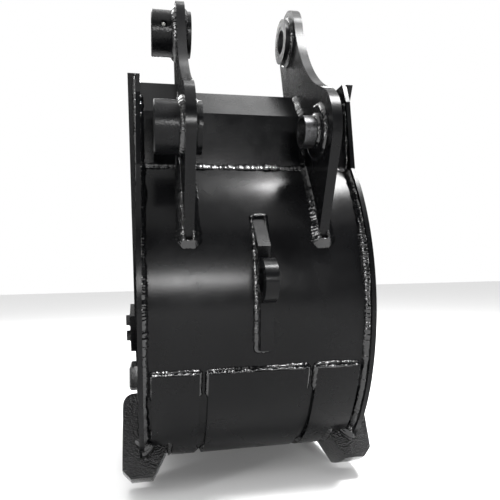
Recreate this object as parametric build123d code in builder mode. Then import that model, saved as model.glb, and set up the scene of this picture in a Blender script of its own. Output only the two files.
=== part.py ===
"""Excavator digging bucket with ears, lifting eye, heel wear plates, heel shrouds and bolt-on side cutters.

The origin is the centre of the stick pin bore. X runs along the pins, to the right seen from behind,
+Y points to the mouth and +Z up, with the bucket standing on its heel shrouds and teeth.
Side outlines are drawn as (Y, Z).
"""

from build123d import *
import os
from math import asin, atan2, cos, degrees, hypot, radians, sin, sqrt

# ---- driving dimensions, mm and degrees ----
width = 600.0  # over the side plates
side_thickness = 12.0
shell_thickness = 10.0
edge_stand = 24.0  # how far the side plates stand out from the shell

back_centre = (304.0, -783.0)  # of the long back curve
back_radius = 600.0  # to the side plate's edge
heel_radius = 325.0  # to the side plate's edge
heel_angle = 34.7  # where the back curve turns into the heel, below the horizontal
floor_front_y = 400.0  # where the shell's floor meets the cutting edge

bar_top = (-134.0, -176.0)  # rear top corner of the leading edge bar
bar_width = 75.0
bar_thickness = 21.0
lead_angle = 30.0  # of the leading edge, from the vertical

rear_top = (-160.0, -235.0)  # side plate's rear edge beside the hinge box
rear_waist_z = -432.0  # where that edge meets the back curve

box_back_y = -145.0
box_bottom_z = -434.0
box_bend_z = -280.0
box_top_back_y = -79.0
box_top_z = -202.0  # between the ears, cut low for the stick
box_wing_top_z = -180.0  # outside the ears
box_top_width = 34.0
box_front_drop = 142.0
box_thickness = 10.0

pin_radius = 35.0
link_pin = (-270.0, -358.0)  # from the stick pin
ear_gap = 322.0  # between the ears' inner faces
ear_thickness = 25.0
stick_lobe_radius = 92.0
link_lobe_radius = 112.0
ear_waist_radius = 400.0
ear_foot_z = -640.0
ear_front_drop = 96.0  # down the mouth plate, to the ear's front foot

boss_radius = 66.0
boss_end_x = 256.0
collar_length = 20.0
thin_collar_length = 8.0
bush_radius = 45.0
bush_fit = 0.02
bush_recess = 1.0
sleeve_radius = 41.0
sleeve_length = 36.0
nipple_hole_radius = 10.0
nipple_radius = 5.0
nipple_tip_radius = 2.5
nipple_length = 14.0

eye_offset_x = 8.0
eye_thickness = 32.0
eye_centre = (-325.0, -735.0)
eye_lobe_radius = 54.0
eye_hole_radius = 29.0
eye_top_z = -575.0
eye_bottom_z = -908.0
eye_neck = (-298.0, -652.0)
eye_leg_stand = 42.0

wear_thickness = 10.0
wear_top_z = -966.0
wear_end_angle = 79.0  # where the plates end on the heel curve
wear_margin = 19.0  # from the side plates to the outer plates
wear_gap = 22.0
wear_side_width = 118.0

shroud_drop = 50.0  # of the casting's underside below the side plates
shroud_stand = 45.0  # beyond the side plates
shroud_inner_width = 64.0  # under the shell, at the shell
shroud_inner_slope = 42.0
shroud_chamfer = 22.0
shroud_rear_foot = (-138.0, -1245.0)
shroud_rear_top = (-61.0, -1044.0)
shroud_length = 130.0
shroud_arm_round = 30.0
slot_width = 22.0  # for the side plate and its weld, inwards from its outer face
slot_depth = 4.0  # below the side plate's edge

lip_thickness = 30.0
lip_front_y = 625.0
lip_bevel_length = 50.0
lip_bevel_drop = 20.0

tooth_count = 4
tooth_pitch = 160.0
adapter_width = 88.0
adapter_leg = 28.0
adapter_rear_y = 470.0
adapter_leg_ramp = 45.0
adapter_gap = 22.0  # from the lip to the adapter's shoulder
nose_length = 84.0
nose_width = 48.0
nose_base_height = 60.0
nose_tip_height = 26.0
tooth_width = 84.0
tooth_tip_width = 66.0
tooth_crown = 18.0  # above the nose
tooth_tip_y = 792.0
tooth_tip_height = 12.0
tooth_fit = 1.5
tooth_pin_radius = 8.0
tooth_pin_fit = 0.25
tooth_pin_inset = 38.0  # in front of the shoulder

cutter_thickness = 16.0
cutter_start = 747.0  # along the leading edge from the bar's top
cutter_length = 150.0
cutter_reach = 46.0  # in front of the leading edge
cutter_bolt_spacing = 66.0
cutter_bolt_inset = 38.0  # behind the leading edge
bolt_radius = 11.0
bolt_hole_clearance = 1.0
bolt_head_width = 34.0  # across the flats
bolt_head_height = 11.0
washer_radius = 21.0
washer_thickness = 3.0
nut_height = 19.0
bolt_tail = 6.0

block_stand = 40.0
block_length = 120.0
block_height = 78.0
block_centre = (280.0, -1064.0)
block_slope = 12.0

# ---- sizes that follow ----
side_inner_x = width / 2 - side_thickness
shell_outer = edge_stand
shell_inner = edge_stand + shell_thickness
ear_inner_x = ear_gap / 2
ear_outer_x = ear_inner_x + ear_thickness
heel_centre = (
    back_centre[0] - (back_radius - heel_radius) * cos(radians(heel_angle)),
    back_centre[1] - (back_radius - heel_radius) * sin(radians(heel_angle)),
)
floor_inner_z = heel_centre[1] - heel_radius + shell_inner
shroud_radius = heel_radius + shroud_drop  # of the casting's underside, about the heel's centre
ground_z = heel_centre[1] - shroud_radius
lip_bottom_z = floor_inner_z - lip_thickness
lead_down = (sin(radians(lead_angle)), -cos(radians(lead_angle)))
lead_across = (cos(radians(lead_angle)), sin(radians(lead_angle)))
bar_front = (bar_top[0] + bar_width / lead_across[0], bar_top[1])
bar_outer_x = width / 2 + bar_thickness
cutter_outer_x = bar_outer_x + cutter_thickness
SIDES = (("left", -1), ("right", 1))

os.makedirs("parts", exist_ok=True)


def finish(piece, name):
    """Labels a finished piece and writes it to its own file."""
    piece.part.label = name
    export_step(piece.part, f"parts/{name}.step")


def side_plane(x):
    """The plane of a side outline, at X = x."""
    return Plane.YZ.offset(x)


def around(centre, radius, angle):
    """A point on a circle, at an angle below the direction to the back."""
    return (centre[0] - radius * cos(radians(angle)), centre[1] - radius * sin(radians(angle)))


def arc(centre, radius, start, end):
    """The arc of that circle between two angles."""
    return ThreePointArc(*[around(centre, radius, a) for a in (start, (start + end) / 2, end)])


def back_angle(radius, z):
    """Where the back curve of this radius reaches height z."""
    return -degrees(asin((z - back_centre[1]) / radius))


def on_back(depth, z):
    """The point at height z on the back curve, set in by depth from the side plates' edge."""
    radius = back_radius - depth
    return around(back_centre, radius, back_angle(radius, z))


def along_lead(start, down, across=0.0):
    """A point moved down the leading edge and across it, forwards."""
    return (
        start[0] + down * lead_down[0] + across * lead_across[0],
        start[1] + down * lead_down[1] + across * lead_across[1],
    )


def lead_at(start, z):
    """The point at height z on the line through start along the leading edge."""
    return along_lead(start, (start[1] - z) / -lead_down[1])


def shell_curve(depth, top_z, end_y):
    """The shell's curve from height top_z, round the heel and along the floor to end_y."""
    arc(back_centre, back_radius - depth, back_angle(back_radius - depth, top_z), heel_angle)
    arc(heel_centre, heel_radius - depth, heel_angle, 90)
    bottom = around(heel_centre, heel_radius - depth, 90)
    Line(bottom, (end_y, bottom[1]))
    return (end_y, bottom[1])


def tangent_point(point, centre, radius, side):
    """Where a line from the point touches the circle; side is 1 or -1."""
    reach = hypot(centre[0] - point[0], centre[1] - point[1])
    run = sqrt(reach**2 - radius**2)
    angle = atan2(centre[1] - point[1], centre[0] - point[0]) + side * asin(radius / reach)
    return (point[0] + run * cos(angle), point[1] + run * sin(angle))


def waist_centre(a, radius_a, b, radius_b):
    """The centre of a circle that touches both circles from outside, on the side of the back."""
    gap = hypot(b[0] - a[0], b[1] - a[1])
    along = (radius_a**2 - radius_b**2 + gap**2) / (2 * gap)
    off = sqrt(radius_a**2 - along**2)
    ux, uz = (b[0] - a[0]) / gap, (b[1] - a[1]) / gap
    return (a[0] + along * ux + off * uz, a[1] + along * uz - off * ux)


def towards(start, end, distance):
    """The point at a distance from start, towards end."""
    share = distance / hypot(end[0] - start[0], end[1] - start[1])
    return (start[0] + share * (end[0] - start[0]), start[1] + share * (end[1] - start[1]))


def outline(*points):
    """Draws a closed face through the points, where they stand."""
    Polygon(*points, align=None)


cutter_bolts = [
    along_lead(bar_front, cutter_start + cutter_length / 2 + step * cutter_bolt_spacing, -cutter_bolt_inset)
    for step in (-0.5, 0.5)
]

# ---- shell and sides ----
with BuildPart() as wrapper_shell:
    with BuildSketch(side_plane(-side_inner_x)):
        with BuildLine():
            outer_end = shell_curve(shell_outer, box_bottom_z, floor_front_y)
            inner_end = shell_curve(shell_inner, box_bottom_z, floor_front_y)
            Line(outer_end, inner_end)
            Line(on_back(shell_outer, box_bottom_z), on_back(shell_inner, box_bottom_z))
        make_face()
    extrude(amount=2 * side_inner_x)
finish(wrapper_shell, "wrapper_shell")

for side, sign in SIDES:
    with BuildPart() as side_plate:
        with BuildSketch(side_plane(sign * side_inner_x)):
            with BuildLine():
                floor_end = shell_curve(0.0, rear_waist_z, floor_front_y)
                Polyline(
                    floor_end,
                    (floor_front_y, floor_inner_z),
                    lead_at(bar_front, floor_inner_z),
                    bar_front,
                    bar_top,
                    rear_top,
                    on_back(0.0, rear_waist_z),
                )
            make_face()
            with Locations(*cutter_bolts):
                Circle(bolt_radius + bolt_hole_clearance, mode=Mode.SUBTRACT)
        extrude(amount=sign * side_thickness)
    finish(side_plate, f"side_plate_{side}")

    with BuildPart() as leading_edge_bar:
        with BuildSketch(side_plane(sign * width / 2)):
            outline(bar_top, bar_front, lead_at(bar_front, floor_inner_z), lead_at(bar_top, floor_inner_z))
            with Locations(*cutter_bolts):
                Circle(bolt_radius + bolt_hole_clearance, mode=Mode.SUBTRACT)
        extrude(amount=sign * bar_thickness)
    finish(leading_edge_bar, f"leading_edge_bar_{side}")

# ---- hinge box: floor, folded back and mouth plate ----
box_front_top_y = box_top_back_y + box_top_width


def box_corners(top_z):
    """The hinge box's section, from its bottom back corner round to its bottom front corner."""
    front_top = (box_front_top_y, top_z)
    return [
        (box_back_y, box_bottom_z),
        (box_back_y, box_bend_z),
        (box_top_back_y, top_z),
        front_top,
        lead_at((box_front_top_y, box_top_z), box_top_z - box_front_drop),
    ]


def inset_corner(before, corner, after, thickness):
    """The inner corner of a plate that turns at this outer corner."""
    a, b = Vector(*before), Vector(*after)
    c = Vector(*corner)
    u, w = (c - a).normalized(), (b - c).normalized()
    half = u.get_signed_angle(w, Vector(0, 0, 1)) / 2
    normal = Vector(u.Y, -u.X)
    reach = normal + u * -sin(radians(half)) / cos(radians(half))
    inner = c + reach * thickness
    return (inner.X, inner.Y)


low_back, *_, low_front = box_corners(box_top_z)
floor_rise = box_thickness / cos(atan2(low_front[1] - low_back[1], low_front[0] - low_back[0]))
floor_back = (low_back[0], low_back[1] + floor_rise)
floor_front = lead_at((box_front_top_y, box_top_z), low_front[1] + floor_rise)

with BuildPart() as box_floor:
    with BuildSketch(side_plane(-side_inner_x)):
        outline(low_back, low_front, floor_front, floor_back)
    extrude(amount=2 * side_inner_x)
finish(box_floor, "hinge_box_floor")

segments = (
    ("centre", -ear_inner_x, ear_inner_x, box_top_z),
    ("left", -side_inner_x, -ear_outer_x, box_wing_top_z),
    ("right", ear_outer_x, side_inner_x, box_wing_top_z),
)
for segment, start_x, end_x, top_z in segments:
    back, bend, top_back, top_front, front_low = box_corners(top_z)
    foot_inner = (
        back[0] + box_thickness,
        floor_back[1] + box_thickness * (floor_front[1] - floor_back[1]) / (floor_front[0] - floor_back[0]),
    )
    bend_inner = inset_corner(back, bend, top_back, box_thickness)
    top_back_inner = inset_corner(bend, top_back, top_front, box_thickness)
    with BuildPart() as back_plate:
        with BuildSketch(side_plane(start_x)):
            outline(
                floor_back, bend, top_back, top_front,
                (top_front[0], top_front[1] - box_thickness), top_back_inner, bend_inner, foot_inner,
            )
        extrude(amount=end_x - start_x)
    finish(back_plate, f"hinge_back_plate_{segment}")

    mouth_top = (top_front[0], top_front[1] - box_thickness)
    top_width = box_thickness / lead_across[0]
    floor_slope = (floor_front[1] - floor_back[1]) / (floor_front[0] - floor_back[0])
    with BuildPart() as mouth_plate:
        with BuildSketch(side_plane(start_x)):
            inner_y = floor_front[0] - top_width
            outline(
                mouth_top,
                floor_front,
                (inner_y, floor_front[1] - top_width * floor_slope),
                (mouth_top[0] - top_width, mouth_top[1]),
            )
        extrude(amount=end_x - start_x)
    finish(mouth_plate, f"mouth_plate_{segment}")

# ---- ears, bosses, collars and bushes ----
ear_foot = on_back(shell_outer, ear_foot_z)
ear_front_foot = lead_at((box_front_top_y, box_top_z), box_top_z - ear_front_drop)
stick_pin = (0.0, 0.0)
waist = waist_centre(
    stick_pin, stick_lobe_radius + ear_waist_radius, link_pin, link_lobe_radius + ear_waist_radius
)
waist_top = towards(stick_pin, waist, stick_lobe_radius)
waist_bottom = towards(link_pin, waist, link_lobe_radius)
waist_middle = towards(waist, ((waist_top[0] + waist_bottom[0]) / 2, (waist_top[1] + waist_bottom[1]) / 2),
                       ear_waist_radius)
front_touch = tangent_point(ear_front_foot, stick_pin, stick_lobe_radius, -1)
foot_touch = tangent_point(ear_foot, link_pin, link_lobe_radius, 1)
bore_radius = bush_radius + bush_fit

for side, sign in SIDES:
    with BuildPart() as ear:
        with BuildSketch(side_plane(sign * ear_inner_x)):
            with BuildLine():
                Line(ear_front_foot, front_touch)
                ThreePointArc(front_touch, (stick_pin[0], stick_pin[1] + stick_lobe_radius), waist_top)
                ThreePointArc(waist_top, waist_middle, waist_bottom)
                ThreePointArc(waist_bottom, (link_pin[0] - link_lobe_radius, link_pin[1]), foot_touch)
                Line(foot_touch, ear_foot)
                shell_radius = back_radius - shell_outer
                arc(back_centre, shell_radius, back_angle(shell_radius, ear_foot_z),
                    back_angle(shell_radius, box_bottom_z))
                Polyline(
                    on_back(shell_outer, box_bottom_z), low_back, floor_back, floor_front, ear_front_foot
                )
            make_face()
            with Locations(stick_pin, link_pin):
                Circle(bore_radius, mode=Mode.SUBTRACT)
        extrude(amount=sign * ear_thickness)
    finish(ear, f"ear_{side}")

    for pin_name, centre in (("stick", stick_pin), ("link", link_pin)):
        thin = pin_name == "link" and side == "right"
        length = thin_collar_length if thin else collar_length
        with BuildPart() as collar:
            with BuildSketch(side_plane(sign * (ear_inner_x - length))):
                with Locations(centre):
                    Circle(boss_radius)
                    Circle(bore_radius, mode=Mode.SUBTRACT)
            extrude(amount=sign * length)
        finish(collar, f"{pin_name}_collar_{side}")

        bush_start = ear_inner_x - length + bush_recess
        bush_end = (boss_end_x if side == "left" else ear_outer_x) - bush_recess
        with BuildPart() as bush:
            with BuildSketch(side_plane(sign * bush_start)):
                with Locations(centre):
                    Circle(bush_radius)
                    Circle(pin_radius, mode=Mode.SUBTRACT)
            extrude(amount=sign * (bush_end - bush_start))
        finish(bush, f"{pin_name}_bush_{side}")

for pin_name, centre, hole_direction in (
    ("stick", stick_pin, (0, -1, 0)),
    ("link", link_pin, (0, 0, 1)),
):
    hole_plane = Plane(
        origin=Vector(-(ear_outer_x + boss_end_x) / 2, *centre)
        + Vector(*hole_direction) * (bush_radius + boss_radius) / 2,
        x_dir=(1, 0, 0),
        z_dir=hole_direction,
    )
    with BuildPart() as boss:
        with BuildSketch(side_plane(-boss_end_x)):
            with Locations(centre):
                Circle(boss_radius)
                Circle(bore_radius, mode=Mode.SUBTRACT)
        extrude(amount=boss_end_x - ear_outer_x)
        with BuildSketch(hole_plane):
            Circle(nipple_hole_radius)
        extrude(amount=boss_radius, mode=Mode.SUBTRACT)
        end_edges = boss.edges().filter_by(GeomType.CIRCLE).group_by(Axis.X)[0]
        chamfer(end_edges.sort_by(SortBy.RADIUS)[-1], 3.0)
    finish(boss, f"{pin_name}_boss_left")

    with BuildPart() as nipple:
        with BuildSketch(hole_plane):
            Circle(nipple_radius)
        extrude(amount=nipple_length / 2)
        with BuildSketch(hole_plane.offset(nipple_length / 2)):
            Circle(nipple_tip_radius)
        extrude(amount=nipple_length / 4)
        with Locations(hole_plane.offset(nipple_length * 3 / 4)):
            Sphere(nipple_tip_radius * 1.2)
    finish(nipple, f"{pin_name}_grease_nipple_left")

sleeve_start = ear_inner_x - thin_collar_length
with BuildPart() as sleeve:
    with BuildSketch(side_plane(sleeve_start)):
        with Locations(link_pin):
            Circle(bush_radius)
            Circle(pin_radius, mode=Mode.SUBTRACT)
    extrude(amount=bush_recess)
    with BuildSketch(side_plane(sleeve_start)):
        with Locations(link_pin):
            Circle(sleeve_radius)
            Circle(pin_radius, mode=Mode.SUBTRACT)
    extrude(amount=-sleeve_length)
finish(sleeve, "link_spacer_sleeve")

# ---- lifting eye ----
eye_leg_radius = back_radius - shell_outer + eye_leg_stand
eye_lobe_bottom = eye_centre[1] - eye_lobe_radius
with BuildPart() as lifting_eye:
    with BuildSketch(side_plane(eye_offset_x - eye_thickness / 2)):
        with BuildLine():
            shell_radius = back_radius - shell_outer
            eye_touch = tangent_point(eye_neck, eye_centre, eye_lobe_radius, 1)
            leg_top_angle = back_angle(eye_leg_radius, eye_lobe_bottom)
            leg_end_angle = back_angle(eye_leg_radius, eye_bottom_z)
            arc(back_centre, shell_radius, back_angle(shell_radius, eye_bottom_z),
                back_angle(shell_radius, eye_top_z))
            Polyline(on_back(shell_outer, eye_top_z), eye_neck, eye_touch)
            ThreePointArc(
                eye_touch,
                (eye_centre[0] - eye_lobe_radius, eye_centre[1]),
                (eye_centre[0], eye_lobe_bottom),
            )
            leg_top = around(back_centre, eye_leg_radius, leg_top_angle)
            Line((eye_centre[0], eye_lobe_bottom), leg_top)
            arc(back_centre, eye_leg_radius, leg_top_angle, leg_end_angle)
            Line(
                around(back_centre, eye_leg_radius, leg_end_angle),
                around(back_centre, shell_radius, back_angle(shell_radius, eye_bottom_z)),
            )
        make_face()
        with Locations(eye_centre):
            Circle(eye_hole_radius, mode=Mode.SUBTRACT)
    extrude(amount=eye_thickness)
finish(lifting_eye, "lifting_eye")

# ---- heel wear plates and heel shrouds ----
wear_inner_radius = back_radius - shell_outer
wear_outer_radius = wear_inner_radius + wear_thickness
heel_step = back_radius - heel_radius
wear_start_angle = back_angle(wear_outer_radius, wear_top_z)
wear_outer_x = side_inner_x - wear_margin
wear_inner_x = wear_outer_x - wear_side_width
shroud_side_x = width / 2 + shroud_stand
shroud_inner_x = side_inner_x - shroud_inner_width
rear_length = hypot(shroud_rear_top[0] - shroud_rear_foot[0], shroud_rear_top[1] - shroud_rear_foot[1])
rear_up = (
    (shroud_rear_top[0] - shroud_rear_foot[0]) / rear_length,
    (shroud_rear_top[1] - shroud_rear_foot[1]) / rear_length,
)
shroud_front_top = (
    shroud_rear_top[0] + shroud_length * rear_up[1],
    shroud_rear_top[1] - shroud_length * rear_up[0],
)
shroud_angle = degrees(atan2(heel_centre[1] - shroud_rear_foot[1], heel_centre[0] - shroud_rear_foot[0]))
notch_start_angle = shroud_angle - 8
shroud_foot = around(heel_centre, shroud_radius, shroud_angle)
to_centre = (heel_centre[0] - shroud_front_top[0], heel_centre[1] - shroud_front_top[1])
along_front = to_centre[0] * rear_up[0] + to_centre[1] * rear_up[1]
off_front = to_centre[0] * rear_up[1] - to_centre[1] * rear_up[0]
front_drop = -along_front + sqrt(shroud_radius**2 - off_front**2)
shroud_front_foot = (
    shroud_front_top[0] - front_drop * rear_up[0],
    shroud_front_top[1] - front_drop * rear_up[1],
)
shroud_front_angle = degrees(
    atan2(heel_centre[1] - shroud_front_foot[1], heel_centre[0] - shroud_front_foot[0])
)
heel_section = Plane(origin=(0, *heel_centre), x_dir=(1, 0, 0), z_dir=(0, -1, 0))
heel_axis = Axis((0, *heel_centre), (1, 0, 0))

for name, start_x, end_x in (
    ("left", -wear_outer_x, -wear_inner_x),
    ("centre", -wear_inner_x + wear_gap, wear_inner_x - wear_gap),
    ("right", wear_inner_x, wear_outer_x),
):
    with BuildPart() as wear_plate:
        with BuildSketch(side_plane(start_x)):
            with BuildLine():
                arc(back_centre, wear_inner_radius, wear_start_angle, heel_angle)
                arc(heel_centre, wear_inner_radius - heel_step, heel_angle, wear_end_angle)
                arc(back_centre, wear_outer_radius, wear_start_angle, heel_angle)
                arc(heel_centre, wear_outer_radius - heel_step, heel_angle, wear_end_angle)
                for centre, step, angle in (
                    (back_centre, 0, wear_start_angle),
                    (heel_centre, heel_step, wear_end_angle),
                ):
                    Line(
                        around(centre, wear_inner_radius - step, angle),
                        around(centre, wear_outer_radius - step, angle),
                    )
            make_face()
        extrude(amount=end_x - start_x)
        if name != "centre":
            sign = -1 if name == "left" else 1
            with BuildSketch(side_plane(sign * (shroud_inner_x - wear_thickness))):
                outline(
                    heel_centre,
                    around(heel_centre, 2 * heel_radius, notch_start_angle),
                    around(heel_centre, 2 * heel_radius, 95),
                )
            extrude(amount=sign * side_inner_x, mode=Mode.SUBTRACT)
    finish(wear_plate, f"wear_plate_{name}")

for side, sign in SIDES:
    with BuildPart() as shroud:
        with BuildSketch(side_plane(sign * shroud_inner_x)):
            with BuildLine():
                arc(heel_centre, shroud_radius, shroud_angle, shroud_front_angle)
                Polyline(shroud_front_foot, shroud_front_top, shroud_rear_top, shroud_foot)
            make_face()
        extrude(amount=sign * (shroud_side_x - shroud_inner_x))
        top_outer = shroud.edges().group_by(Axis.X)[0 if sign < 0 else -1].sort_by(Axis.Z)[-1]
        fillet(top_outer, shroud_arm_round)
        with BuildSketch(side_plane(sign * shroud_inner_x)):
            with Locations(heel_centre):
                Circle(heel_radius - shell_outer)
        extrude(amount=sign * (side_inner_x - shroud_inner_x), mode=Mode.SUBTRACT)
        with BuildSketch(side_plane(sign * (width / 2 - slot_width))):
            with Locations(heel_centre):
                Circle(heel_radius + slot_depth)
        extrude(amount=sign * slot_width, mode=Mode.SUBTRACT)
        with BuildSketch(heel_section):
            outline(
                (sign * shroud_inner_x, -(heel_radius - shell_outer)),
                (sign * (shroud_inner_x + shroud_inner_slope), -shroud_radius),
                (sign * (shroud_inner_x + shroud_inner_slope), -2 * shroud_radius),
                (sign * shroud_inner_x, -2 * shroud_radius),
            )
            outline(
                (sign * shroud_side_x, -(shroud_radius - shroud_chamfer)),
                (sign * (shroud_side_x - shroud_chamfer), -shroud_radius),
                (sign * shroud_side_x, -2 * shroud_radius),
            )
        revolve(axis=heel_axis, mode=Mode.SUBTRACT)
    finish(shroud, f"heel_shroud_{side}")

# ---- cutting edge and teeth ----
lip_outline = (
    (floor_front_y, floor_inner_z),
    (lip_front_y - lip_bevel_length, floor_inner_z),
    (lip_front_y, floor_inner_z - lip_bevel_drop),
    (lip_front_y, lip_bottom_z),
    (floor_front_y, lip_bottom_z),
)
with BuildPart() as cutting_edge:
    with BuildSketch(side_plane(-bar_outer_x)):
        outline(*lip_outline)
    extrude(amount=2 * bar_outer_x)
finish(cutting_edge, "cutting_edge")

shoulder_y = lip_front_y + adapter_gap
adapter_top_z = floor_inner_z + adapter_leg
adapter_bottom_z = lip_bottom_z - adapter_leg
nose_z = (adapter_top_z + adapter_bottom_z) / 2
nose_tip_y = shoulder_y + nose_length
nose_outline = (
    (shoulder_y, nose_z + nose_base_height / 2),
    (nose_tip_y, nose_z + nose_tip_height / 2),
    (nose_tip_y, nose_z - nose_tip_height / 2),
    (shoulder_y, nose_z - nose_base_height / 2),
)
tooth_pin_place = (shoulder_y + tooth_pin_inset, nose_z)
tooth_base_y = shoulder_y + tooth_fit

for number in range(1, tooth_count + 1):
    tooth_x = (number - (tooth_count + 1) / 2) * tooth_pitch
    with BuildPart() as adapter:
        with BuildSketch(side_plane(tooth_x - adapter_width / 2)):
            outline(
                (adapter_rear_y, floor_inner_z),
                (adapter_rear_y + adapter_leg_ramp, adapter_top_z),
                (shoulder_y, adapter_top_z),
                (shoulder_y, adapter_bottom_z),
                (adapter_rear_y + adapter_leg_ramp, adapter_bottom_z),
                (adapter_rear_y, lip_bottom_z),
            )
            Polygon(*lip_outline, align=None, mode=Mode.SUBTRACT)
        extrude(amount=adapter_width)
        with BuildSketch(side_plane(tooth_x - nose_width / 2)):
            outline(*nose_outline)
            with Locations(tooth_pin_place):
                Circle(tooth_pin_radius + tooth_pin_fit, mode=Mode.SUBTRACT)
        extrude(amount=nose_width)
    finish(adapter, f"tooth_adapter_{number}")

    with BuildPart() as tooth:
        with BuildSketch(side_plane(tooth_x - tooth_width / 2)):
            outline(
                (tooth_base_y, nose_z + nose_base_height / 2 + tooth_crown),
                (tooth_tip_y, ground_z + tooth_tip_height),
                (tooth_tip_y, ground_z),
                (tooth_base_y, ground_z),
            )
            with Locations(tooth_pin_place):
                Circle(tooth_pin_radius + tooth_pin_fit, mode=Mode.SUBTRACT)
        extrude(amount=tooth_width)
        with BuildSketch(side_plane(tooth_x - nose_width / 2 - tooth_fit)):
            outline(*nose_outline)
            offset(amount=tooth_fit, kind=Kind.INTERSECTION)
        extrude(amount=nose_width + 2 * tooth_fit, mode=Mode.SUBTRACT)
        with BuildSketch(Plane.XY.offset(ground_z)):
            outline(
                (tooth_x - tooth_width / 2, tooth_base_y),
                (tooth_x + tooth_width / 2, tooth_base_y),
                (tooth_x + tooth_tip_width / 2, tooth_tip_y),
                (tooth_x - tooth_tip_width / 2, tooth_tip_y),
            )
        extrude(amount=adapter_top_z - ground_z, mode=Mode.INTERSECT)
    finish(tooth, f"tooth_{number}")

with BuildPart() as tooth_pins:
    for number in range(tooth_count):
        tooth_x = (number - (tooth_count - 1) / 2) * tooth_pitch
        with BuildSketch(side_plane(tooth_x - tooth_tip_width / 2)):
            with Locations(tooth_pin_place):
                Circle(tooth_pin_radius)
        extrude(amount=tooth_tip_width)
finish(tooth_pins, "tooth_pins")

# ---- bolt-on side cutters and side wear blocks ----
cutter_end = cutter_start + cutter_length
nut_x = side_inner_x - nut_height
for side, sign in SIDES:
    with BuildPart() as side_cutter:
        with BuildSketch(side_plane(sign * bar_outer_x)):
            outline(
                along_lead(bar_front, cutter_start, -bar_width),
                along_lead(bar_front, cutter_start, 0),
                along_lead(bar_front, cutter_start + cutter_reach, cutter_reach),
                along_lead(bar_front, cutter_end - cutter_reach / 3, cutter_reach),
                along_lead(bar_front, cutter_end, cutter_reach / 2),
                along_lead(bar_front, cutter_end, -bar_width),
            )
            with Locations(*cutter_bolts):
                Circle(bolt_radius + bolt_hole_clearance, mode=Mode.SUBTRACT)
        extrude(amount=sign * cutter_thickness)
    finish(side_cutter, f"side_cutter_{side}")

    with BuildPart() as washers:
        with BuildSketch(side_plane(sign * cutter_outer_x)):
            with Locations(*cutter_bolts):
                Circle(washer_radius)
                Circle(bolt_radius + bolt_hole_clearance, mode=Mode.SUBTRACT)
        extrude(amount=sign * washer_thickness)
    finish(washers, f"side_cutter_washers_{side}")

    with BuildPart() as bolts:
        with BuildSketch(side_plane(sign * (cutter_outer_x + washer_thickness))):
            with Locations(*cutter_bolts):
                RegularPolygon(bolt_head_width / 2, 6, major_radius=False)
        extrude(amount=sign * bolt_head_height)
        with BuildSketch(side_plane(sign * (nut_x - bolt_tail))):
            with Locations(*cutter_bolts):
                Circle(bolt_radius)
        extrude(amount=sign * (cutter_outer_x + washer_thickness - nut_x + bolt_tail))
    finish(bolts, f"side_cutter_bolts_{side}")

    with BuildPart() as nuts:
        with BuildSketch(side_plane(sign * nut_x)):
            with Locations(*cutter_bolts):
                RegularPolygon(bolt_head_width / 2, 6, major_radius=False)
                Circle(bolt_radius, mode=Mode.SUBTRACT)
        extrude(amount=sign * nut_height)
    finish(nuts, f"side_cutter_nuts_{side}")

    with BuildPart() as block:
        with BuildSketch(side_plane(sign * width / 2)):
            outline(
                (block_centre[0] - block_length / 2, block_centre[1] - block_height / 2 + block_slope),
                (block_centre[0] - block_length / 2 + block_slope, block_centre[1] + block_height / 2),
                (block_centre[0] + block_length / 2, block_centre[1] + block_height / 2),
                (block_centre[0] + block_length / 2, block_centre[1] - block_height / 2),
                (block_centre[0] - block_length / 2 + block_slope, block_centre[1] - block_height / 2),
            )
        extrude(amount=sign * block_stand)
        chamfer(block.faces().sort_by(Axis.X)[0 if sign < 0 else -1].edges(), block_slope / 2)
    finish(block, f"side_wear_block_{side}")
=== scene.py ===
import math
import random

import bmesh
import bpy
from bpy.props import FloatProperty, FloatVectorProperty, PointerProperty
from mathutils import Matrix, Vector


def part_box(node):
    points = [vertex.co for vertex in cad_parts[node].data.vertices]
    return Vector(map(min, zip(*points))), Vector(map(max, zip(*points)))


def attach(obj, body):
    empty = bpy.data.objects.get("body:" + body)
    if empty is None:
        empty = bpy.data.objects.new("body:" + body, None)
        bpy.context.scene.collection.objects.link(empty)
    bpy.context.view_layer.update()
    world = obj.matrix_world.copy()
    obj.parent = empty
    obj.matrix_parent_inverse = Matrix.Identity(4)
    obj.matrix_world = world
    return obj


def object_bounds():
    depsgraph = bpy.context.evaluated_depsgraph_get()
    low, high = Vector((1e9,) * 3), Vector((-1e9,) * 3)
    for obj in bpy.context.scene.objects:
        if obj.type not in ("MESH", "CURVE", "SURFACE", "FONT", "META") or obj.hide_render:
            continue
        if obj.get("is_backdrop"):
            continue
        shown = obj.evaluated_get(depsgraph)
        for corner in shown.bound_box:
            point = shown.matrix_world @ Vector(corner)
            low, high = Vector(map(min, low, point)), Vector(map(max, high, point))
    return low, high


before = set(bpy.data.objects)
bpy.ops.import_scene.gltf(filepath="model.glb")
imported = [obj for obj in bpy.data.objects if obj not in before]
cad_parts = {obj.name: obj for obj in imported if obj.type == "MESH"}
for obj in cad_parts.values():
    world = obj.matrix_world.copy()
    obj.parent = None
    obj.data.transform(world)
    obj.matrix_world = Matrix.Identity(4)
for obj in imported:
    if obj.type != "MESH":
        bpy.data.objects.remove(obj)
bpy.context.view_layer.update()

bl_info = {
    "name": "Excavator bucket finish",
    "version": (1, 0),
    "blender": (4, 5, 0),
    "location": "View3D > Sidebar > Bucket",
    "description": "Weld beads, paint and a studio for a packed excavator bucket",
    "category": "Object",
}

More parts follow.
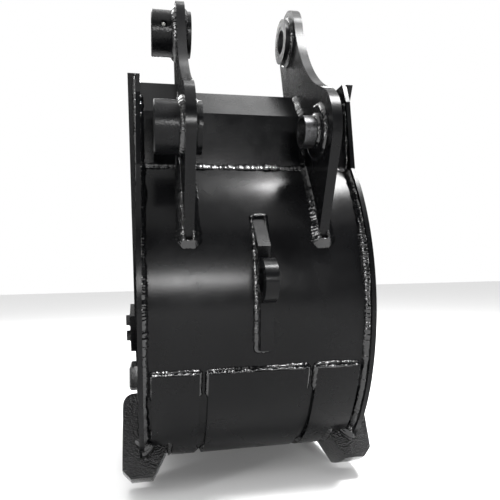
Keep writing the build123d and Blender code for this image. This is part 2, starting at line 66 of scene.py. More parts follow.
# ---- sizes of the bucket in metres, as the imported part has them; places are (Y, Z), angles in degrees ----
BACK_CENTRE = Vector((0.304, -0.783))
HEEL_CENTRE = Vector((0.0779, -0.9396))
HEEL_ANGLE = 34.7  # down from the level, where the back curve runs into the heel curve
FLOOR_ANGLE = 88.0  # where the heel curve runs into the floor
FLOOR_FRONT_Y = 0.398
SHELL_R = 0.576  # outside of the shell, on the back curve
HEEL_R = 0.301  # outside of the shell, on the heel curve
SIDE_IN, SIDE_OUT = 0.288, 0.300  # faces of a side plate
EAR_IN, EAR_OUT = 0.161, 0.186  # faces of an ear
EAR_FOOT_Z = -0.640
STICK_PIN = Vector((0.0, 0.0))
LINK_PIN = Vector((-0.270, -0.358))
BOSS_R = 0.066
SLEEVE_R = 0.041
THIN_COLLAR = 0.008  # length of the collar under the spacer sleeve
BOX_TOP = Vector((-0.079, -0.202))  # rear top corner of the hinge box
BOX_BEND = Vector((-0.145, -0.280))
BOX_FOOT = Vector((-0.145, -0.434))  # where the hinge box meets the shell
BAR_TOP_Z = -0.176  # rear top corner of a leading edge bar
LEAD = Vector((0.5, -math.cos(math.radians(30))))  # down the leading edge

# ---- where the beads start and stop, in metres and degrees ----
WING_BEAD_TOP_Z = -0.238
WING_BEAD_FOOT_Z = -0.430
SIDE_BEAD_TOP_Z = -0.436
LIP_BEAD_Y = (0.402, 0.56)  # along the ends of the cutting edge, on the side plates
LIP_BEAD_MARGIN = 0.03  # from the ends of the cutting edge, under the floor
ADAPTER_BEAD_MARGIN = 0.004  # from an adapter's rear end
ADAPTER_BEAD_END_Y = 0.572
END_MARGIN = 0.002  # clear of a plate's end
EAR_CORNER = 0.004  # from an ear's face to where the corner of its foot bead ends
WEAR_CORNER = 0.006  # the same, from a wear plate's side
WEAR_TURN = 7.0  # how far a wear plate's top bead runs down its sides
STITCH = 8.0  # length of each stitch down a wear plate's side
STITCH_START = 58.0
OUTER_STITCH_START = 36.0  # on the outer sides of the outer plates
SHROUD_FILL = (46.0, 78.0)  # in the corner between the shell and the side plate
SHROUD_INNER = (44.0, 66.0)  # along the casting's inner side
SHROUD_OUTER = (43.0, 48.0)  # on the side plate's outer face

# ---- a bead's section and ripples; shares are of its leg unless they say otherwise ----
FACE_POINTS = 7  # corners across the crowned face
SECTION = FACE_POINTS + 3  # with the root and the two sides inside the metal
CROWN = 0.12
ROOT_DEPTH = 0.2
RIPPLE_POINTS = 3  # sections in one ripple
RIPPLE_CROWN = 0.045
RIPPLE_SIZE = 0.25  # share of the ripple setting that follows the ripples
DRIFT_SIZE = 2.8  # share of the ripple setting that wanders along the bead
DRIFT_HOLD = 0.9  # how much of the wander passes on to the next section
TOE_WOBBLE = 0.35  # share of the ripple setting that moves each toe
END_POINTS = 4  # sections over which an open bead grows from half its size
EAR_RIPPLE = 0.6  # share of the ripple setting that the ears' flatter beads take
EAR_FLARE = 0.7  # how much wider the ears' beads get on their way down
DIAGONAL = 0.7  # how far each way the lifting eye's bead turns at a corner

# ---- legs of the special beads: one in metres, then shares of their setting ----
SHROUD_FILL_LEG = 0.027
FOOT_CORNER_LEG = 1.9
FOOT_LEG = 1.5
BOX_LEG = 1.5
BOSS_LEG = 1.25
SLEEVE_LEG = 0.8
WEAR_END_LEG = 1.1


# ---- the bucket's side outline ----
def around(centre, radius, angle):
    """Place on a curve, at an angle below the level, behind its centre."""
    a = math.radians(angle)
    return Vector((centre.x - radius * math.cos(a), centre.y - radius * math.sin(a)))


def back_angle(z):
    """Angle at which the shell's back curve is at a height."""
    return -math.degrees(math.asin((z - BACK_CENTRE.y) / SHELL_R))


def shell_line(start, end, step=2.0):
    """Places down the shell's outside between two angles, each with its outward direction."""
    line = []
    count = max(2, int(abs(end - start) / step) + 1)
    for i in range(count + 1):
        angle = start + (end - start) * i / count
        centre, radius = (BACK_CENTRE, SHELL_R) if angle <= HEEL_ANGLE else (HEEL_CENTRE, HEEL_R)
        place = around(centre, radius, angle)
        line.append((place, (place - centre).normalized()))
    return line


def straight(a, b, out, step=0.012):
    """Places along a straight part of the outline, each with its outward direction."""
    count = max(1, int((b - a).length / step))
    return [(a.lerp(b, i / count), Vector(out).normalized()) for i in range(count + 1)]


def at(x, yz):
    """A place or a direction of the side outline, at one x."""
    return Vector((x, yz[0], yz[1]))


def up_shell(out):
    """Direction up the shell's outside, where its outward direction is out."""
    return at(0, (out.y, -out.x))


def bar_rear_edge():
    """Upper and lower end of a leading edge bar's rear edge."""
    low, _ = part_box("leading_edge_bar_left")
    top = Vector((low.y, BAR_TOP_Z))
    return top, top + LEAD * ((top.y - low.z) / -LEAD.y)


OPEN, CLOSED = False, True  # whether a bead's two ends meet


# ---- strokes: lists of (corner, direction along the base, direction up the wall, leg) ----
def side_run(x, way, line, leg):
    """Down a side outline at one x, its foot running along X by way, with one leg or a leg for each place."""
    legs = leg if isinstance(leg, list) else [leg] * len(line)
    return [(at(x, p), Vector((way, 0, 0)), at(0, out), each) for (p, out), each in zip(line, legs)]


def across(x0, x1, corner, base, wall, leg):
    """Straight along X at a corner."""
    return [(at(x, corner), Vector(base), Vector(wall), leg) for x in (x0, x1)]


def round_end(x0, x1, place, along, inset, corner_leg, middle_leg):
    """Across the end of a plate that stands on the shell, with its corners turned on the diagonal."""
    p, out = place
    way = Vector((math.copysign(1, x1 - x0), 0, 0))
    wall = at(0, out)
    return [
        (at(x0, p), (along - way).normalized(), wall, corner_leg),
        (at(x0, p) + way * inset, along, wall, middle_leg),
        (at(x1, p) - way * inset, along, wall, middle_leg),
        (at(x1, p), (along + way).normalized(), wall, corner_leg),
    ]


def ring(centre, radius, x, way, leg, count=48):
    """Round a boss, where it meets a face that looks along X by way."""
    stroke = []
    for i in range(count):
        a = 2 * math.pi * i / count
        d = Vector((0, math.cos(a), math.sin(a)))
        stroke.append((at(x, centre) + d * radius, d, Vector((way, 0, 0)), leg))
    return stroke


def ear_strokes(leg):
    """Down the outer and inner face of each ear, over the hinge box and the shell, and round the foot."""
    slope = (BOX_TOP - BOX_BEND).normalized()
    line = straight(BOX_TOP, BOX_BEND, (-slope.y, slope.x))
    line += straight(BOX_BEND, BOX_FOOT, (-1, 0))
    line += shell_line(back_angle(BOX_FOOT.y), back_angle(EAR_FOOT_Z))
    legs = [leg * (1 + EAR_FLARE * (i / (len(line) - 1)) ** 3) for i in range(len(line))]
    down = -up_shell(line[-1][1])
    strokes = []
    for ear in (-1, 1):
        inner, outer = ear * EAR_IN, ear * EAR_OUT
        stroke = side_run(inner, -ear, line, legs)
        stroke += round_end(inner, outer, line[-1], down, EAR_CORNER, leg * FOOT_CORNER_LEG, leg * FOOT_LEG)
        stroke += side_run(outer, ear, line[::-1], legs[::-1])
        strokes.append(stroke)
    return strokes


def eye_stroke(leg):
    """Round the foot of the lifting eye, down its left side first."""
    low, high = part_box("lifting_eye")
    line = shell_line(back_angle(high.z + END_MARGIN), back_angle(low.z - END_MARGIN), 1.0)
    stroke = side_run(low.x, -1, line, leg)
    p, out = line[-1]
    for x, way in ((low.x, -DIAGONAL), (high.x, DIAGONAL)):
        stroke.append((at(x, p), Vector((way, 0, -DIAGONAL)), at(0, out), leg))
    stroke += side_run(high.x, 1, line[::-1], leg)
    p, out = line[0]
    for x, way in ((high.x, DIAGONAL), (low.x, -DIAGONAL)):
        stroke.append((at(x, p), Vector((way, 0, DIAGONAL)), at(0, out), leg))
    return stroke


def wear_plate_strokes(name, outer_edges, leg):
    """Over the top of a wear plate, and a stitch down each side."""
    low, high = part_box("wear_plate_" + name)
    top = back_angle(high.z + END_MARGIN)
    line = shell_line(top, top + WEAR_TURN, 1.0)
    stroke = side_run(low.x, -1, line[::-1], leg)
    up = up_shell(line[0][1])
    stroke += round_end(low.x, high.x, line[0], up, WEAR_CORNER, leg, leg * WEAR_END_LEG)
    stroke += side_run(high.x, 1, line, leg)
    strokes = [stroke]
    for x, way in ((low.x, -1), (high.x, 1)):
        start = OUTER_STITCH_START if x in outer_edges else STITCH_START
        strokes.append(side_run(x, way, shell_line(start, start + STITCH, 1.0), leg))
    return strokes


def shroud_strokes(name, side, leg):
    """Fills the corner over a heel shroud, and follows it along the shell and up the side plate."""
    low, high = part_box("heel_shroud_" + name)
    inner = min(abs(low.x), abs(high.x)) * side
    return [
        side_run(side * SIDE_IN, -side, shell_line(*SHROUD_FILL, 1.0), SHROUD_FILL_LEG),
        side_run(inner, -side, shell_line(*SHROUD_INNER, 1.0), leg),
        side_run(side * SIDE_OUT, side, shell_line(*SHROUD_OUTER, 1.0), leg),
    ]


def block_stroke(name, side, leg):
    """Round a side wear block on the side plate."""
    low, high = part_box("side_wear_block_" + name)
    corners = [Vector(c) for c in ((low.y, low.z), (high.y, low.z), (high.y, high.z), (low.y, high.z))]
    stroke = []
    for here, after in zip(corners, corners[1:] + corners[:1]):
        edge = (after - here).normalized()
        out = at(0, (edge.y, -edge.x))
        for t in (0.06, 0.5, 0.94):
            stroke.append((at(side * SIDE_OUT, here.lerp(after, t)), out, Vector((side, 0, 0)), leg))
    return stroke


# ---- beads ----
def resample(stroke, step, closed):
    """Evenly spaced stops along a stroke, each with the length run so far."""
    stops = stroke + stroke[:1] if closed else stroke
    lengths = [0.0]
    for u, v in zip(stops, stops[1:]):
        lengths.append(lengths[-1] + (v[0] - u[0]).length)
    total = lengths[-1]
    count = max(3, int(total / step))
    found, j = [], 0
    for i in range(count if closed else count + 1):
        run = total * i / count
        while j < len(stops) - 2 and lengths[j + 1] < run:
            j += 1
        span = lengths[j + 1] - lengths[j]
        t = (run - lengths[j]) / span if span > 1e-9 else 0.0
        (p0, a0, b0, leg0), (p1, a1, b1, leg1) = stops[j], stops[j + 1]
        a, b = a0.lerp(a1, t).normalized(), b0.lerp(b1, t).normalized()
        found.append((p0.lerp(p1, t), a, b, leg0 + (leg1 - leg0) * t, run))
    return found


def bead_section(p, a, b, leg, crown, depth, wobble, rng):
    """Corners of a bead's section: the root inside the metal, two legs on the plates and a crowned face."""
    leg_a = leg * rng.uniform(1 - wobble, 1 + wobble)
    leg_b = leg * rng.uniform(1 - wobble, 1 + wobble)
    middle = (a + b).normalized() * leg * crown
    corners = [p - a * depth - b * depth, p + a * leg_a - b * depth]
    for k in range(FACE_POINTS):
        t = k / (FACE_POINTS - 1)
        corners.append(p + a * leg_a * (1 - t) + b * leg_b * t + middle * math.sin(math.pi * t))
    corners.append(p - a * depth + b * leg_b)
    return corners


def lay_bead(bm, stroke, closed, crown, ripple, pitch, rng):
    """Lays one bead: a grid bent along the stroke, with its seam merged and its ends filled."""
    stops = resample(stroke, pitch / RIPPLE_POINTS, closed)
    sections = []
    drift = 0.0
    for i, (p, a, b, leg, run) in enumerate(stops):
        wave = 0.5 + 0.5 * math.cos(2 * math.pi * run / pitch)
        drift = DRIFT_HOLD * drift + (1 - DRIFT_HOLD) * rng.uniform(-1, 1)
        size = leg * (1 + RIPPLE_SIZE * ripple * (wave - 0.5) + DRIFT_SIZE * ripple * drift)
        if not closed:
            size *= min(1.0, 0.5 + 0.5 * min(i, len(stops) - 1 - i) / END_POINTS)
        height = crown + RIPPLE_CROWN * wave
        sections.append(bead_section(p, a, b, size, height, ROOT_DEPTH * leg, TOE_WOBBLE * ripple, rng))
    if closed:
        sections.append(sections[0])
    last = len(sections) - 1
    grid = bmesh.ops.create_grid(bm, x_segments=last, y_segments=SECTION, size=1.0)
    for v in grid["verts"]:
        i = round((v.co.x + 1) / 2 * last)
        k = round((v.co.y + 1) / 2 * SECTION)
        v.co = sections[i][k % SECTION]
    bmesh.ops.remove_doubles(bm, verts=grid["verts"], dist=1e-7)
    ends = [e for e in bm.edges if e.is_boundary]
    if ends:
        bmesh.ops.holes_fill(bm, edges=ends, sides=0)
    bmesh.ops.recalc_face_normals(bm, faces=bm.faces)


def make_beads(name, beads, seed, crown=CROWN, share=1.0):
    """Makes one mesh of (stroke, closed) beads, in the weld enamel, with a share of the ripple setting."""
    s = settings()
    rng = random.Random(seed)
    whole = bmesh.new()
    for stroke, closed in beads:
        bm = bmesh.new()
        lay_bead(bm, stroke, closed, crown, s.ripple * share, s.pitch, rng)
        bead = bpy.data.meshes.new("bead")
        bm.to_mesh(bead)
        bm.free()
        whole.from_mesh(bead)
        bpy.data.meshes.remove(bead)
    obj = new_piece(name, whole, material("weld_enamel"))
    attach(obj, "root")


def new_piece(name, bm, finish):
    """Turns a bmesh into a smooth object with one material, at the origin."""
    mesh = bpy.data.meshes.new(name)
    bm.to_mesh(mesh)
    bm.free()
    mesh.polygons.foreach_set("use_smooth", [True] * len(mesh.polygons))
    mesh.materials.append(finish)
    obj = bpy.data.objects.new(name, mesh)
    bpy.context.scene.collection.objects.link(obj)
    return obj


# ---- materials ----
MIX_A, MIX_B, MIX_RESULT = 6, 7, 2  # sockets of a Mix node that mixes colours


def nodes_of(name):
    """A new material, its node tree and its shader."""
    mat = bpy.data.materials.new(name)
    mat.use_nodes = True
    return mat, mat.node_tree, mat.node_tree.nodes["Principled BSDF"]


def link(tree, source, output, node, socket):
    """Joins an output of one node to a socket of another."""
    tree.links.new(source.outputs[output], node.inputs[socket])


def noise(tree, coords, scale, detail, rough=0.5):
    """A cloudy pattern, fixed to the piece."""
    node = tree.nodes.new("ShaderNodeTexNoise")
    node.inputs["Scale"].default_value = scale
    node.inputs["Detail"].default_value = detail
    node.inputs["Roughness"].default_value = rough
    link(tree, coords, "Object", node, "Vector")
    return node


def ramp(tree, source, low, high, start=0.0, end=1.0):
    """Takes a node's first value from low..high to start..end."""
    node = tree.nodes.new("ShaderNodeMapRange")
    node.inputs["From Min"].default_value = low
    node.inputs["From Max"].default_value = high
    node.inputs["To Min"].default_value = start
    node.inputs["To Max"].default_value = end
    link(tree, source, 0, node, "Value")
    return node


def product(tree, a, b):
    """A node's value times another node's, or times a number."""
    node = tree.nodes.new("ShaderNodeMath")
    node.operation = "MULTIPLY"
    link(tree, a, 0, node, 0)
    if isinstance(b, float):
        node.inputs[1].default_value = b
    else:
        link(tree, b, 0, node, 1)
    return node


def bump(tree, height, strength, distance, before=None):
    """Relief from a node's first value, on top of the relief before it."""
    node = tree.nodes.new("ShaderNodeBump")
    node.inputs["Strength"].default_value = strength
    node.inputs["Distance"].default_value = distance
    link(tree, height, 0, node, "Height")
    if before is not None:
        link(tree, before, "Normal", node, "Normal")
    return node


def mix_colour(tree, factor, a, b):
    """A colour between a, which is a colour or another mix, and the colour b."""
    node = tree.nodes.new("ShaderNodeMix")
    node.data_type = "RGBA"
    link(tree, factor, 0, node, 0)
    if isinstance(a, bpy.types.Node):
        link(tree, a, MIX_RESULT, node, MIX_A)
    else:
        node.inputs[MIX_A].default_value = (*a, 1)
    node.inputs[MIX_B].default_value = (*b, 1)
    return node


def enamel(name, gloss, roughness, coat_roughness, wave, speck, grit):
    """Black enamel: long waves, orange peel, grit on rough castings, and patches of pale specks painted into
    the colour as sparkle, a painted highlight.
    """
    s = settings()
    mat, tree, shader = nodes_of(name)
    coords = tree.nodes.new("ShaderNodeTexCoord")
    shader.inputs["IOR"].default_value = 1.5
    shader.inputs["Specular IOR Level"].default_value = gloss
    shader.inputs["Coat Weight"].default_value = gloss * 0.5
    shader.inputs["Coat Roughness"].default_value = coat_roughness

    shade = ramp(tree, noise(tree, coords, scale=3.0, detail=4.0), 0.3, 0.8)
    black = mix_colour(tree, shade, s.enamel_dark, s.enamel_pale)
    # pale specks in random patches are painted sparkle: glints painted into the base colour
    specks = ramp(tree, noise(tree, coords, scale=900.0, detail=2.0), 0.66 - speck * 0.10, 0.72)
    patches = ramp(tree, noise(tree, coords, scale=5.0, detail=5.0, rough=0.6), 0.52, 0.72)
    painted_sparkle = product(tree, product(tree, specks, patches), speck)
    link(tree, mix_colour(tree, painted_sparkle, black, s.painted_sparkle), MIX_RESULT, shader, "Base Color")

    smears = noise(tree, coords, scale=7.0, detail=4.0, rough=0.6)
    link(tree, ramp(tree, smears, 0.3, 0.75, roughness * 0.7, roughness * 1.5), 0, shader, "Roughness")

    relief = bump(tree, noise(tree, coords, scale=4.0, detail=2.0), wave, 0.004)
    relief = bump(tree, noise(tree, coords, scale=140.0, detail=2.0), 0.25, 0.0004, relief)
    if grit:
        cells = tree.nodes.new("ShaderNodeTexVoronoi")
        cells.inputs["Scale"].default_value = 220.0
        link(tree, coords, "Object", cells, "Vector")
        relief = bump(tree, cells, grit, 0.0045, relief)
        relief = bump(tree, noise(tree, coords, scale=420.0, detail=4.0), grit, 0.0012, relief)
    link(tree, relief, "Normal", shader, "Normal")
    return mat


def metal(name, colour, roughness, scale):
    """Bare or plated metal with a fine grain."""
    mat, tree, shader = nodes_of(name)
    coords = tree.nodes.new("ShaderNodeTexCoord")
    shader.inputs["Metallic"].default_value = 0.9
    grain = noise(tree, coords, scale, detail=4.0)
    darker = tuple(c * 0.35 for c in colour)
    tone = mix_colour(tree, ramp(tree, grain, 0.3, 0.7), darker, colour)
    link(tree, tone, MIX_RESULT, shader, "Base Color")
    link(tree, ramp(tree, grain, 0.2, 0.8, roughness * 0.7, roughness * 1.4), 0, shader, "Roughness")
    scratches = bump(tree, noise(tree, coords, scale * 3, detail=2.0), 0.3, 0.0003)
    link(tree, scratches, "Normal", shader, "Normal")
    return mat


# speck sets how much painted sparkle, pale specks in the base colour, each enamel gets
ENAMELS = {
    "plate_enamel": {
        "gloss": 0.085, "roughness": 0.24, "coat_roughness": 0.16, "wave": 0.5, "speck": 0.35, "grit": 0.0,
    },
    # bosses and collars: plate enamel with more painted sparkle specks
    "plate_enamel_painted_sparkle": {
        "gloss": 0.08, "roughness": 0.28, "coat_roughness": 0.2, "wave": 0.5, "speck": 0.7, "grit": 0.10,
    },
    "weld_enamel": {
        "gloss": 0.4, "roughness": 0.06, "coat_roughness": 0.04, "wave": 0.4, "speck": 0.3, "grit": 0.16,
    },
    "cast_enamel": {
        "gloss": 0.28, "roughness": 0.09, "coat_roughness": 0.08, "wave": 0.5, "speck": 0.8, "grit": 1.0,
    },
    "fastener_enamel": {
        "gloss": 0.3, "roughness": 0.22, "coat_roughness": 0.1, "wave": 0.2, "speck": 0.6, "grit": 0.05,
    },
}
METALS = {
    "bush_steel": {"colour": (0.06, 0.06, 0.062), "roughness": 0.35, "scale": 220.0},
    "zinc_plate": {"colour": (0.42, 0.42, 0.40), "roughness": 0.35, "scale": 300.0},
}
MATERIALS = {}  # by name, each made when it is first asked for

# the first word found in a node's name gives its finish, and plate_enamel is for the rest
FINISH_WORDS = {
    "tooth_pins": "fastener_enamel",
    "bolts": "fastener_enamel",
    "nuts": "fastener_enamel",
    "washers": "fastener_enamel",
    "tooth": "cast_enamel",
    "shroud": "cast_enamel",
    "wear_block": "cast_enamel",
    "bush": "bush_steel",
    "sleeve": "bush_steel",
    "nipple": "zinc_plate",
    # bosses and collars take the enamel with more painted sparkle
    "boss": "plate_enamel_painted_sparkle",
    "collar": "plate_enamel_painted_sparkle",
}


def material(name):
    """The finish of that name, from ENAMELS or METALS."""
    if name not in MATERIALS:
        maker, values = (enamel, ENAMELS) if name in ENAMELS else (metal, METALS)
        MATERIALS[name] = maker(name, **values[name])
    return MATERIALS[name]


def finish_of(node):
    """Name of a node's finish."""
    for word, finish in FINISH_WORDS.items():
        if word in node:
            return finish
    return "plate_enamel"


# ---- the studio ----
CAMERA_PLACE = Vector((-0.26893, -1.49622, -0.70674))
FLOOR_HALF = 14.0
FLOOR_GAP = 0.0005  # under the bucket, so that the two do not touch
OVERHEAD_ANGLE = 100.0  # width of the overhead light in degrees, for soft shadows

# name, place, point it faces, width and height, setting that gives its power, share of that power
PANELS = (
    ("window", (0.15, -4.2, -0.10), (0.1, -0.2, -0.7), (1.2, 0.42), "window_power", 1.0),
    ("ceiling", (1.35, -1.10, 2.8), (0.05, -0.2, -0.6), (1.2, 0.8), "ceiling_power", 1.0),
    ("roof_strip", (0.6, 0.40, 2.6), (0.1, -0.1, -0.3), (1.4, 0.6), "ceiling_power", 0.06),
    ("left_panel", (-3.6, -2.0, 0.2), (0, -0.2, -0.6), (0.5, 1.8), "window_power", 0.8),
    ("mouth_panel", (0.8, 3.6, 1.2), (0, 0.2, -0.7), (2.0, 1.6), "window_power", 1.0),
    ("mouth_ceiling", (-1.6, 2.6, 2.4), (0, 0.2, -0.8), (2.2, 2.0), "window_power", 0.6),
    ("left_wall", (-4.5, 0.4, 0.6), (0, 0, -0.7), (3.0, 2.6), "wall_power", 1.0),
    ("right_wall", (4.5, 0.4, 0.6), (0, 0, -0.7), (3.0, 2.6), "wall_power", 1.0),
)


def lay_floor(s):
    """A pale matt floor just under the bucket."""
    low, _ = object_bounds()
    bm = bmesh.new()
    place = Matrix.Translation((0, 0, low.z - FLOOR_GAP))
    bmesh.ops.create_grid(bm, x_segments=1, y_segments=1, size=FLOOR_HALF, matrix=place)
    mat, _, shader = nodes_of("studio_floor")
    shader.inputs["Base Color"].default_value = (*s.floor_colour, 1)
    shader.inputs["Roughness"].default_value = 0.9
    new_piece("floor", bm, mat)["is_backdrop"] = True


def light_room(scene, s):
    """A white backdrop that is dim in reflections, soft panels round the bucket and a wide overhead light."""
    world = bpy.data.worlds.new("studio")
    world.use_nodes = True
    scene.world = world
    tree = world.node_tree
    background = tree.nodes["Background"]
    background.inputs["Color"].default_value = (1, 1, 1, 1)
    camera_ray = tree.nodes.new("ShaderNodeLightPath")
    link(tree, ramp(tree, camera_ray, 0.0, 1.0, s.room_light, 1.0), 0, background, "Strength")

    for name, place, target, size, power, share in PANELS:
        light = bpy.data.lights.new(name, "AREA")
        light.shape = "RECTANGLE"
        light.energy = getattr(s, power) * share
        light.size, light.size_y = size
        obj = bpy.data.objects.new(name, light)
        obj.location = place
        obj.rotation_euler = (Vector(target) - Vector(place)).to_track_quat("-Z", "Y").to_euler()
        scene.collection.objects.link(obj)

    overhead = bpy.data.lights.new("soft_overhead", "SUN")
    overhead.energy = s.overhead
    overhead.angle = math.radians(OVERHEAD_ANGLE)
    scene.collection.objects.link(bpy.data.objects.new("soft_overhead", overhead))


def place_camera(scene, s):
    """Stands the camera behind the bucket, aimed by yaw and tilt and then rolled."""
    data = bpy.data.cameras.new("camera")
    data.lens = s.lens
    data.sensor_width = 36.0
    data.clip_start, data.clip_end = 0.05, 60.0
    camera = bpy.data.objects.new("camera", data)
    level = math.cos(s.tilt)
    forward = Vector((math.sin(s.yaw) * level, math.cos(s.yaw) * level, math.sin(s.tilt)))
    aim = forward.to_track_quat("-Z", "Y").to_matrix().to_4x4()
    camera.matrix_world = Matrix.Translation(CAMERA_PLACE) @ aim @ Matrix.Rotation(-s.roll, 4, "Z")
    scene.collection.objects.link(camera)
    scene.camera = camera
    scene.view_settings.view_transform = "Standard"


# ---- settings ----
class BucketSettings(bpy.types.PropertyGroup):
    """Sizes of the beads, colours, strengths of the lights and the camera's aim."""

    ear_leg: FloatProperty(
        name="Ear bead", description="Leg of the beads along the ears", default=0.0115, min=0.0, unit="LENGTH"
    )
    side_leg: FloatProperty(
        name="Side bead",
        description="Leg of the beads between the shell and the side plates",
        default=0.013,
        min=0.0,
        unit="LENGTH",
    )
    plate_leg: FloatProperty(
        name="Plate bead",
        description="Leg of the beads at the hinge box and wear plates",
        default=0.009,
        min=0.0,
        unit="LENGTH",
    )
    ring_leg: FloatProperty(
        name="Ring bead",
        description="Leg of the beads round the bosses and collars",
        default=0.009,
        min=0.0,
        unit="LENGTH",
    )
    pitch: FloatProperty(
        name="Ripple pitch", description="Length of one ripple", default=0.0075, min=0.0, unit="LENGTH"
    )
    ripple: FloatProperty(
        name="Ripple",
        description="How much a bead's width changes along it",
        default=0.30,
        min=0.0,
        max=0.5,
        subtype="FACTOR",
    )
    enamel_dark: FloatVectorProperty(
        name="Enamel",
        description="Colour of the black enamel where it is darkest",
        default=(0.0012, 0.0013, 0.0015),
        min=0.0,
        max=1.0,
        subtype="COLOR",
    )
    enamel_pale: FloatVectorProperty(
        name="Pale enamel",
        description="Colour of the black enamel where it is palest",
        default=(0.003, 0.003, 0.0033),
        min=0.0,
        max=1.0,
        subtype="COLOR",
    )
    # colour of the pale specks: painted sparkle in the enamel's base colour
    painted_sparkle: FloatVectorProperty(
        name="Painted sparkle",
        description="Colour of the specks of painted sparkle on the enamel",
        default=(0.09, 0.095, 0.1),
        min=0.0,
        max=1.0,
        subtype="COLOR",
    )
    floor_colour: FloatVectorProperty(
        name="Floor",
        description="Colour of the studio's floor",
        default=(0.74, 0.74, 0.74),
        min=0.0,
        max=1.0,
        subtype="COLOR",
    )
    window_power: FloatProperty(
        name="Window",
        description="Power of the panel behind the camera",
        default=130.0,
        min=0.0,
        unit="POWER",
    )
    ceiling_power: FloatProperty(
        name="Ceiling", description="Power of the panel overhead", default=330.0, min=0.0, unit="POWER"
    )
    wall_power: FloatProperty(
        name="Walls", description="Power of each large side panel", default=26.0, min=0.0, unit="POWER"
    )
    overhead: FloatProperty(
        name="Overhead", description="Strength of the soft light from above", default=3.1, min=0.0
    )
    room_light: FloatProperty(
        name="Room light", description="Brightness of the backdrop in reflections", default=0.05, min=0.0
    )
    lens: FloatProperty(
        name="Lens",
        description="Focal length of the camera",
        default=36.135,
        min=1.0,
        subtype="DISTANCE_CAMERA",
    )
    yaw: FloatProperty(
        name="Yaw",
        description="Turn of the camera to the right of +Y",
        default=math.radians(11.34),
        unit="ROTATION",
    )
    tilt: FloatProperty(
        name="Tilt", description="Upward tilt of the camera", default=math.radians(2.12), unit="ROTATION"
    )
    roll: FloatProperty(
        name="Roll",
        description="Roll of the camera about its axis",
        default=math.radians(1.15),
        unit="ROTATION",
    )


def settings():
    """The scene's bucket settings."""
    return bpy.context.scene.bucket


# ---- operators ----
class BUCKET_OT_paint(bpy.types.Operator):
    """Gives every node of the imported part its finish"""

    bl_idname = "bucket.paint"
    bl_label = "Paint the part"

    def execute(self, context):
        for node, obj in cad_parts.items():
            obj.data.materials.clear()
            obj.data.materials.append(material(finish_of(node)))
            for polygon in obj.data.polygons:
                polygon.material_index = 0
        return {"FINISHED"}


class BUCKET_OT_ear_beads(bpy.types.Operator):
    """Makes the beads that join the ears to the hinge box and the shell"""

    bl_idname = "bucket.ear_beads"
    bl_label = "Ear beads"

    def execute(self, context):
        beads = [(stroke, OPEN) for stroke in ear_strokes(settings().ear_leg)]
        make_beads("ear_weld_beads", beads, seed=3, crown=0.0, share=EAR_RIPPLE)
        return {"FINISHED"}


class BUCKET_OT_shell_beads(bpy.types.Operator):
    """Makes the beads between the shell, the hinge box, the side plates and the leading edge bars"""

    bl_idname = "bucket.shell_beads"
    bl_label = "Shell beads"

    def execute(self, context):
        s = settings()
        strokes = []
        wing = straight(
            Vector((BOX_FOOT.x, WING_BEAD_TOP_Z)), Vector((BOX_FOOT.x, WING_BEAD_FOOT_Z)), (-1, 0)
        )
        back = shell_line(back_angle(SIDE_BEAD_TOP_Z), FLOOR_ANGLE)
        heel_end = back[-1][0]
        back += straight(heel_end, Vector((FLOOR_FRONT_Y, heel_end.y)), (0, -1))
        rear = at(0, (LEAD.y, -LEAD.x))
        for side in (-1, 1):
            strokes.append(side_run(side * SIDE_IN, -side, wing, s.plate_leg))
            strokes.append(side_run(side * SIDE_IN, -side, back, s.side_leg))
            outward = Vector((side, 0, 0))
            strokes.append([(at(side * SIDE_OUT, p), rear, outward, s.ring_leg) for p in bar_rear_edge()])
        for x0, x1 in ((-SIDE_IN, -EAR_OUT), (-EAR_IN, EAR_IN), (EAR_OUT, SIDE_IN)):
            strokes.append(across(x0, x1, BOX_FOOT, (0, 0, 1), (0, -1, 0), s.plate_leg * BOX_LEG))
        make_beads("shell_weld_beads", [(stroke, OPEN) for stroke in strokes], seed=5)
        return {"FINISHED"}


class BUCKET_OT_boss_beads(bpy.types.Operator):
    """Makes the beads round the pin bosses, the collars and the spacer sleeve"""

    bl_idname = "bucket.boss_beads"
    bl_label = "Boss beads"

    def execute(self, context):
        leg = settings().ring_leg
        rings = []
        for centre in (STICK_PIN, LINK_PIN):
            rings.append(ring(centre, BOSS_R, -EAR_OUT, -1, leg * BOSS_LEG))
            rings.append(ring(centre, BOSS_R, -EAR_IN, 1, leg))
            collar_leg = THIN_COLLAR if centre is LINK_PIN else leg
            rings.append(ring(centre, BOSS_R, EAR_IN, -1, collar_leg))
        rings.append(ring(LINK_PIN, SLEEVE_R, EAR_IN - THIN_COLLAR, -1, leg * SLEEVE_LEG))
        make_beads("boss_weld_beads", [(stroke, CLOSED) for stroke in rings], seed=7)
        return {"FINISHED"}


class BUCKET_OT_eye_beads(bpy.types.Operator):
    """Makes the bead round the foot of the lifting eye"""

    bl_idname = "bucket.eye_beads"
    bl_label = "Lifting eye bead"

    def execute(self, context):
        make_beads("eye_weld_beads", [(eye_stroke(settings().plate_leg), CLOSED)], seed=11)
        return {"FINISHED"}


class BUCKET_OT_wear_beads(bpy.types.Operator):
    """Makes the beads along the tops and in stitches down the sides of the wear plates"""

    bl_idname = "bucket.wear_beads"
    bl_label = "Wear plate beads"

    def execute(self, context):
        outer_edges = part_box("wear_plate_left")[0].x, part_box("wear_plate_right")[1].x
        strokes = []
        for name in ("left", "centre", "right"):
            strokes += wear_plate_strokes(name, outer_edges, settings().plate_leg)
        make_beads("wear_plate_weld_beads", [(stroke, OPEN) for stroke in strokes], seed=13)
        return {"FINISHED"}


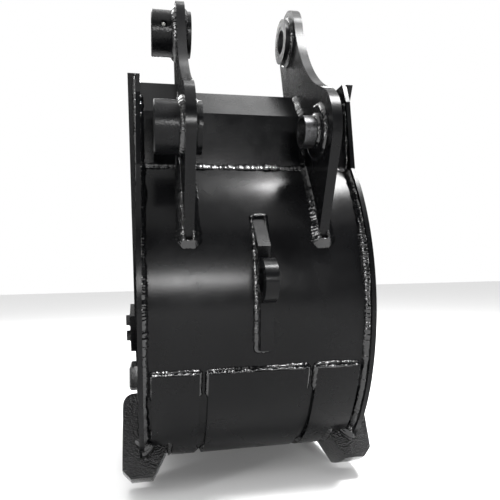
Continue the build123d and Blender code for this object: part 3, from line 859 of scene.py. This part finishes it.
class BUCKET_OT_edge_beads(bpy.types.Operator):
    """Makes the beads of the heel shrouds, the wear blocks, the cutting edge and the tooth adapters"""

    bl_idname = "bucket.edge_beads"
    bl_label = "Edge beads"

    def execute(self, context):
        s = settings()
        lip_low, lip_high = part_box("cutting_edge")
        shell_low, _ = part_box("wrapper_shell")
        lip_start, lip_end = (Vector((y, lip_high.z)) for y in LIP_BEAD_Y)
        beads = []
        for side, name in ((-1, "left"), (1, "right")):
            beads += [(stroke, OPEN) for stroke in shroud_strokes(name, side, s.side_leg)]
            beads.append((block_stroke(name, side, s.plate_leg), CLOSED))
            lip = straight(lip_start, lip_end, (0, 1))
            beads.append((side_run(side * SIDE_IN, -side, lip, s.plate_leg), OPEN))
        x0, x1 = lip_low.x + LIP_BEAD_MARGIN, lip_high.x - LIP_BEAD_MARGIN
        corner = (lip_low.y, shell_low.z)
        beads.append((across(x0, x1, corner, (0, -1, 0), (0, 0, -1), s.side_leg), OPEN))
        for number in range(1, 5):
            low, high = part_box(f"tooth_adapter_{number}")
            start, end = (Vector((y, lip_high.z)) for y in (low.y + ADAPTER_BEAD_MARGIN, ADAPTER_BEAD_END_Y))
            foot = straight(start, end, (0, 1))
            for x, way in ((low.x, -1), (high.x, 1)):
                beads.append((side_run(x, way, foot, s.plate_leg), OPEN))
        make_beads("edge_weld_beads", beads, seed=17)
        return {"FINISHED"}


class BUCKET_OT_stage(bpy.types.Operator):
    """Makes the floor, the lights and the camera"""

    bl_idname = "bucket.stage"
    bl_label = "Studio"

    def execute(self, context):
        s = settings()
        lay_floor(s)
        light_room(context.scene, s)
        place_camera(context.scene, s)
        return {"FINISHED"}


class BUCKET_PT_panel(bpy.types.Panel):
    """Settings of the bucket's finish, and a button for each operator"""

    bl_label = "Bucket"
    bl_idname = "BUCKET_PT_panel"
    bl_space_type = "VIEW_3D"
    bl_region_type = "UI"
    bl_category = "Bucket"

    def draw(self, context):
        for name in BucketSettings.__annotations__:
            self.layout.prop(context.scene.bucket, name)
        for operator in OPERATORS:
            self.layout.operator(operator.bl_idname)


OPERATORS = (
    BUCKET_OT_paint,
    BUCKET_OT_ear_beads,
    BUCKET_OT_shell_beads,
    BUCKET_OT_boss_beads,
    BUCKET_OT_eye_beads,
    BUCKET_OT_wear_beads,
    BUCKET_OT_edge_beads,
    BUCKET_OT_stage,
)
CLASSES = (BucketSettings, *OPERATORS, BUCKET_PT_panel)


def register():
    for cls in CLASSES:
        bpy.utils.register_class(cls)
    bpy.types.Scene.bucket = PointerProperty(type=BucketSettings)


def unregister():
    del bpy.types.Scene.bucket
    for cls in reversed(CLASSES):
        bpy.utils.unregister_class(cls)


def main():
    register()
    for operator in OPERATORS:
        group, name = operator.bl_idname.split(".")
        getattr(getattr(bpy.ops, group), name)()


if __name__ == "__main__":
    main()
